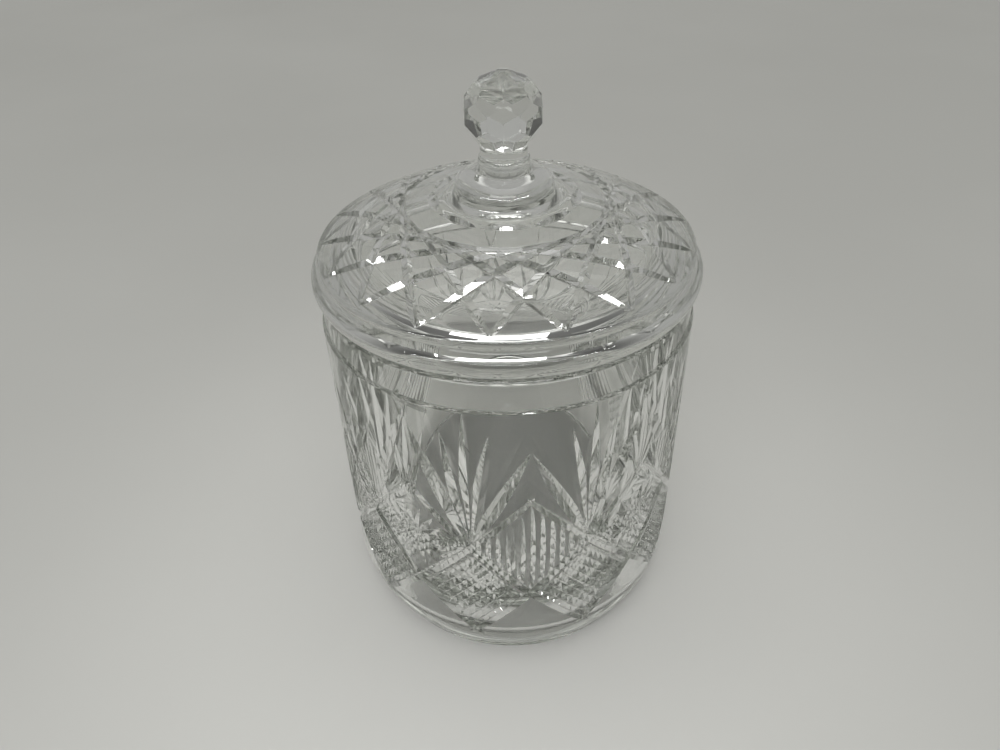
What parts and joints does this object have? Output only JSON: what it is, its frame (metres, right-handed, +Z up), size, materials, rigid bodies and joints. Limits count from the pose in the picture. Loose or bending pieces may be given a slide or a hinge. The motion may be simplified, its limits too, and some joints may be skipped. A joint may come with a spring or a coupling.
{
  "type": "powder jar",
  "caption": "Tall round cut-glass jar with a thick heeled base, a plain collar and a domed lift-off lid that carries a faceted ball knob.",
  "frame": {"origin": "centre of the foot's flat underside", "axes": "+Z up along the axis the jar is turned about; +X and +Y across, with the camera side at -Y"},
  "size_m": [0.14, 0.14, 0.219],
  "materials": {
    "body_glass": "clear cut and polished lead crystal",
    "lid_glass": "clear cut and polished lead crystal",
    "knob_glass": "clear faceted and polished lead crystal"
  },
  "bodies": {
    "jar": {"jar_body": "body_glass"},
    "lid": {"lid": "lid_glass", "lid_knob": "knob_glass"}
  },
  "joints": [
    {"name": "lid_lift", "type": "slide", "parent": "jar", "child": "lid", "axis": [0, 0, 1], "range_m": [0, 0.1]}
  ]
}
